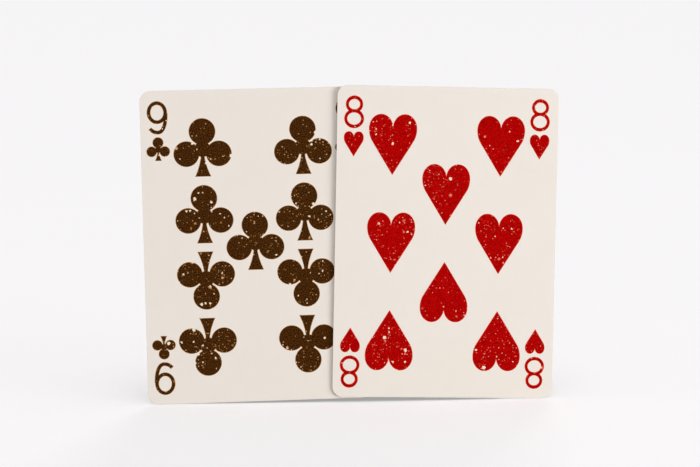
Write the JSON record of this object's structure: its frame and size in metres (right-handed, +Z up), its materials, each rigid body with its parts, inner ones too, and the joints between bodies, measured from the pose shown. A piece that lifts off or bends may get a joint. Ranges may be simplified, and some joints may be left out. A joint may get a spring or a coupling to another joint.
{
  "type": "deck of playing cards",
  "caption": "Deck of poker-size playing cards standing on its long edge, with a club card and a heart card leaning on its front; every card can be drawn out by itself.",
  "frame": {"origin": "on the table, under the middle of the part's box", "axes": "+X along the deck's long edge, to the right seen from the front; +Y from the two standing cards back through the deck; +Z up"},
  "size_m": [0.1194, 0.0236, 0.09],
  "materials": {
    "card_stock": "matte"
  },
  "bodies": {
    "joker_red": {"joker_red": "card_stock"},
    "joker_black": {"joker_black": "card_stock"},
    "king_of_hearts": {"king_of_hearts": "card_stock"},
    "queen_of_hearts": {"queen_of_hearts": "card_stock"},
    "jack_of_hearts": {"jack_of_hearts": "card_stock"},
    "ten_of_hearts": {"ten_of_hearts": "card_stock"},
    "nine_of_hearts": {"nine_of_hearts": "card_stock"},
    "eight_of_hearts": {"eight_of_hearts": "card_stock"},
    "seven_of_hearts": {"seven_of_hearts": "card_stock"},
    "six_of_hearts": {"six_of_hearts": "card_stock"},
    "five_of_hearts": {"five_of_hearts": "card_stock"},
    "four_of_hearts": {"four_of_hearts": "card_stock"},
    "three_of_hearts": {"three_of_hearts": "card_stock"},
    "two_of_hearts": {"two_of_hearts": "card_stock"},
    "ace_of_hearts": {"ace_of_hearts": "card_stock"},
    "king_of_clubs": {"king_of_clubs": "card_stock"},
    "queen_of_clubs": {"queen_of_clubs": "card_stock"},
    "jack_of_clubs": {"jack_of_clubs": "card_stock"},
    "ten_of_clubs": {"ten_of_clubs": "card_stock"},
    "nine_of_clubs": {"nine_of_clubs": "card_stock"},
    "eight_of_clubs": {"eight_of_clubs": "card_stock"},
    "seven_of_clubs": {"seven_of_clubs": "card_stock"},
    "six_of_clubs": {"six_of_clubs": "card_stock"},
    "five_of_clubs": {"five_of_clubs": "card_stock"},
    "four_of_clubs": {"four_of_clubs": "card_stock"},
    "three_of_clubs": {"three_of_clubs": "card_stock"},
    "two_of_clubs": {"two_of_clubs": "card_stock"},
    "ace_of_clubs": {"ace_of_clubs": "card_stock"},
    "king_of_diamonds": {"king_of_diamonds": "card_stock"},
    "queen_of_diamonds": {"queen_of_diamonds": "card_stock"},
    "jack_of_diamonds": {"jack_of_diamonds": "card_stock"},
    "ten_of_diamonds": {"ten_of_diamonds": "card_stock"},
    "nine_of_diamonds": {"nine_of_diamonds": "card_stock"},
    "eight_of_diamonds": {"eight_of_diamonds": "card_stock"},
    "seven_of_diamonds": {"seven_of_diamonds": "card_stock"},
    "six_of_diamonds": {"six_of_diamonds": "card_stock"},
    "five_of_diamonds": {"five_of_diamonds": "card_stock"},
    "four_of_diamonds": {"four_of_diamonds": "card_stock"},
    "three_of_diamonds": {"three_of_diamonds": "card_stock"},
    "two_of_diamonds": {"two_of_diamonds": "card_stock"},
    "ace_of_diamonds": {"ace_of_diamonds": "card_stock"},
    "king_of_spades": {"king_of_spades": "card_stock"},
    "queen_of_spades": {"queen_of_spades": "card_stock"},
    "jack_of_spades": {"jack_of_spades": "card_stock"},
    "ten_of_spades": {"ten_of_spades": "card_stock"},
    "nine_of_spades": {"nine_of_spades": "card_stock"},
    "eight_of_spades": {"eight_of_spades": "card_stock"},
    "seven_of_spades": {"seven_of_spades": "card_stock"},
    "six_of_spades": {"six_of_spades": "card_stock"},
    "five_of_spades": {"five_of_spades": "card_stock"},
    "four_of_spades": {"four_of_spades": "card_stock"},
    "three_of_spades": {"three_of_spades": "card_stock"},
    "two_of_spades": {"two_of_spades": "card_stock"},
    "ace_of_spades": {"ace_of_spades": "card_stock"}
  },
  "joints": [
    {"name": "joker_red_draw", "type": "slide", "parent": "ace_of_spades", "child": "joker_red", "axis": [-1, 0, 0], "range_m": [0, 0.092]},
    {"name": "joker_black_draw", "type": "slide", "parent": "ace_of_spades", "child": "joker_black", "axis": [-1, 0, 0], "range_m": [0, 0.092]},
    {"name": "king_of_hearts_draw", "type": "slide", "parent": "ace_of_spades", "child": "king_of_hearts", "axis": [-1, 0, 0], "range_m": [0, 0.092]},
    {"name": "queen_of_hearts_draw", "type": "slide", "parent": "ace_of_spades", "child": "queen_of_hearts", "axis": [-1, 0, 0], "range_m": [0, 0.092]},
    {"name": "jack_of_hearts_draw", "type": "slide", "parent": "ace_of_spades", "child": "jack_of_hearts", "axis": [-1, 0, 0], "range_m": [0, 0.092]},
    {"name": "ten_of_hearts_draw", "type": "slide", "parent": "ace_of_spades", "child": "ten_of_hearts", "axis": [-1, 0, 0], "range_m": [0, 0.092]},
    {"name": "nine_of_hearts_draw", "type": "slide", "parent": "ace_of_spades", "child": "nine_of_hearts", "axis": [-1, 0, 0], "range_m": [0, 0.092]},
    {"name": "eight_of_hearts_draw", "type": "slide", "parent": "ace_of_spades", "child": "eight_of_hearts", "axis": [0, 0.0884, 0.9961], "range_m": [0, 0.066]},
    {"name": "seven_of_hearts_draw", "type": "slide", "parent": "ace_of_spades", "child": "seven_of_hearts", "axis": [-1, 0, 0], "range_m": [0, 0.092]},
    {"name": "six_of_hearts_draw", "type": "slide", "parent": "ace_of_spades", "child": "six_of_hearts", "axis": [-1, 0, 0], "range_m": [0, 0.092]},
    {"name": "five_of_hearts_draw", "type": "slide", "parent": "ace_of_spades", "child": "five_of_hearts", "axis": [-1, 0, 0], "range_m": [0, 0.092]},
    {"name": "four_of_hearts_draw", "type": "slide", "parent": "ace_of_spades", "child": "four_of_hearts", "axis": [-1, 0, 0], "range_m": [0, 0.092]},
    {"name": "three_of_hearts_draw", "type": "slide", "parent": "ace_of_spades", "child": "three_of_hearts", "axis": [-1, 0, 0], "range_m": [0, 0.092]},
    {"name": "two_of_hearts_draw", "type": "slide", "parent": "ace_of_spades", "child": "two_of_hearts", "axis": [-1, 0, 0], "range_m": [0, 0.092]},
    {"name": "ace_of_hearts_draw", "type": "slide", "parent": "ace_of_spades", "child": "ace_of_hearts", "axis": [-1, 0, 0], "range_m": [0, 0.092]},
    {"name": "king_of_clubs_draw", "type": "slide", "parent": "ace_of_spades", "child": "king_of_clubs", "axis": [-1, 0, 0], "range_m": [0, 0.092]},
    {"name": "queen_of_clubs_draw", "type": "slide", "parent": "ace_of_spades", "child": "queen_of_clubs", "axis": [-1, 0, 0], "range_m": [0, 0.092]},
    {"name": "jack_of_clubs_draw", "type": "slide", "parent": "ace_of_spades", "child": "jack_of_clubs", "axis": [-1, 0, 0], "range_m": [0, 0.092]},
    {"name": "ten_of_clubs_draw", "type": "slide", "parent": "ace_of_spades", "child": "ten_of_clubs", "axis": [-1, 0, 0], "range_m": [0, 0.092]},
    {"name": "nine_of_clubs_draw", "type": "slide", "parent": "ace_of_spades", "child": "nine_of_clubs", "axis": [0, 0.0941, 0.9956], "range_m": [0, 0.066]},
    {"name": "eight_of_clubs_draw", "type": "slide", "parent": "ace_of_spades", "child": "eight_of_clubs", "axis": [-1, 0, 0], "range_m": [0, 0.092]},
    {"name": "seven_of_clubs_draw", "type": "slide", "parent": "ace_of_spades", "child": "seven_of_clubs", "axis": [-1, 0, 0], "range_m": [0, 0.092]},
    {"name": "six_of_clubs_draw", "type": "slide", "parent": "ace_of_spades", "child": "six_of_clubs", "axis": [-1, 0, 0], "range_m": [0, 0.092]},
    {"name": "five_of_clubs_draw", "type": "slide", "parent": "ace_of_spades", "child": "five_of_clubs", "axis": [-1, 0, 0], "range_m": [0, 0.092]},
    {"name": "four_of_clubs_draw", "type": "slide", "parent": "ace_of_spades", "child": "four_of_clubs", "axis": [-1, 0, 0], "range_m": [0, 0.092]},
    {"name": "three_of_clubs_draw", "type": "slide", "parent": "ace_of_spades", "child": "three_of_clubs", "axis": [-1, 0, 0], "range_m": [0, 0.092]},
    {"name": "two_of_clubs_draw", "type": "slide", "parent": "ace_of_spades", "child": "two_of_clubs", "axis": [-1, 0, 0], "range_m": [0, 0.092]},
    {"name": "ace_of_clubs_draw", "type": "slide", "parent": "ace_of_spades", "child": "ace_of_clubs", "axis": [-1, 0, 0], "range_m": [0, 0.092]},
    {"name": "king_of_diamonds_draw", "type": "slide", "parent": "ace_of_spades", "child": "king_of_diamonds", "axis": [-1, 0, 0], "range_m": [0, 0.092]},
    {"name": "queen_of_diamonds_draw", "type": "slide", "parent": "ace_of_spades", "child": "queen_of_diamonds", "axis": [-1, 0, 0], "range_m": [0, 0.092]},
    {"name": "jack_of_diamonds_draw", "type": "slide", "parent": "ace_of_spades", "child": "jack_of_diamonds", "axis": [-1, 0, 0], "range_m": [0, 0.092]},
    {"name": "ten_of_diamonds_draw", "type": "slide", "parent": "ace_of_spades", "child": "ten_of_diamonds", "axis": [-1, 0, 0], "range_m": [0, 0.092]},
    {"name": "nine_of_diamonds_draw", "type": "slide", "parent": "ace_of_spades", "child": "nine_of_diamonds", "axis": [-1, 0, 0], "range_m": [0, 0.092]},
    {"name": "eight_of_diamonds_draw", "type": "slide", "parent": "ace_of_spades", "child": "eight_of_diamonds", "axis": [-1, 0, 0], "range_m": [0, 0.092]},
    {"name": "seven_of_diamonds_draw", "type": "slide", "parent": "ace_of_spades", "child": "seven_of_diamonds", "axis": [-1, 0, 0], "range_m": [0, 0.092]},
    {"name": "six_of_diamonds_draw", "type": "slide", "parent": "ace_of_spades", "child": "six_of_diamonds", "axis": [-1, 0, 0], "range_m": [0, 0.092]},
    {"name": "five_of_diamonds_draw", "type": "slide", "parent": "ace_of_spades", "child": "five_of_diamonds", "axis": [-1, 0, 0], "range_m": [0, 0.092]},
    {"name": "four_of_diamonds_draw", "type": "slide", "parent": "ace_of_spades", "child": "four_of_diamonds", "axis": [-1, 0, 0], "range_m": [0, 0.092]},
    {"name": "three_of_diamonds_draw", "type": "slide", "parent": "ace_of_spades", "child": "three_of_diamonds", "axis": [-1, 0, 0], "range_m": [0, 0.092]},
    {"name": "two_of_diamonds_draw", "type": "slide", "parent": "ace_of_spades", "child": "two_of_diamonds", "axis": [-1, 0, 0], "range_m": [0, 0.092]},
    {"name": "ace_of_diamonds_draw", "type": "slide", "parent": "ace_of_spades", "child": "ace_of_diamonds", "axis": [-1, 0, 0], "range_m": [0, 0.092]},
    {"name": "king_of_spades_draw", "type": "slide", "parent": "ace_of_spades", "child": "king_of_spades", "axis": [-1, 0, 0], "range_m": [0, 0.092]},
    {"name": "queen_of_spades_draw", "type": "slide", "parent": "ace_of_spades", "child": "queen_of_spades", "axis": [-1, 0, 0], "range_m": [0, 0.092]},
    {"name": "jack_of_spades_draw", "type": "slide", "parent": "ace_of_spades", "child": "jack_of_spades", "axis": [-1, 0, 0], "range_m": [0, 0.092]},
    {"name": "ten_of_spades_draw", "type": "slide", "parent": "ace_of_spades", "child": "ten_of_spades", "axis": [-1, 0, 0], "range_m": [0, 0.092]},
    {"name": "nine_of_spades_draw", "type": "slide", "parent": "ace_of_spades", "child": "nine_of_spades", "axis": [-1, 0, 0], "range_m": [0, 0.092]},
    {"name": "eight_of_spades_draw", "type": "slide", "parent": "ace_of_spades", "child": "eight_of_spades", "axis": [-1, 0, 0], "range_m": [0, 0.092]},
    {"name": "seven_of_spades_draw", "type": "slide", "parent": "ace_of_spades", "child": "seven_of_spades", "axis": [-1, 0, 0], "range_m": [0, 0.092]},
    {"name": "six_of_spades_draw", "type": "slide", "parent": "ace_of_spades", "child": "six_of_spades", "axis": [-1, 0, 0], "range_m": [0, 0.092]},
    {"name": "five_of_spades_draw", "type": "slide", "parent": "ace_of_spades", "child": "five_of_spades", "axis": [-1, 0, 0], "range_m": [0, 0.092]},
    {"name": "four_of_spades_draw", "type": "slide", "parent": "ace_of_spades", "child": "four_of_spades", "axis": [-1, 0, 0], "range_m": [0, 0.092]},
    {"name": "three_of_spades_draw", "type": "slide", "parent": "ace_of_spades", "child": "three_of_spades", "axis": [-1, 0, 0], "range_m": [0, 0.092]},
    {"name": "two_of_spades_draw", "type": "slide", "parent": "ace_of_spades", "child": "two_of_spades", "axis": [-1, 0, 0], "range_m": [0, 0.092]}
  ]
}
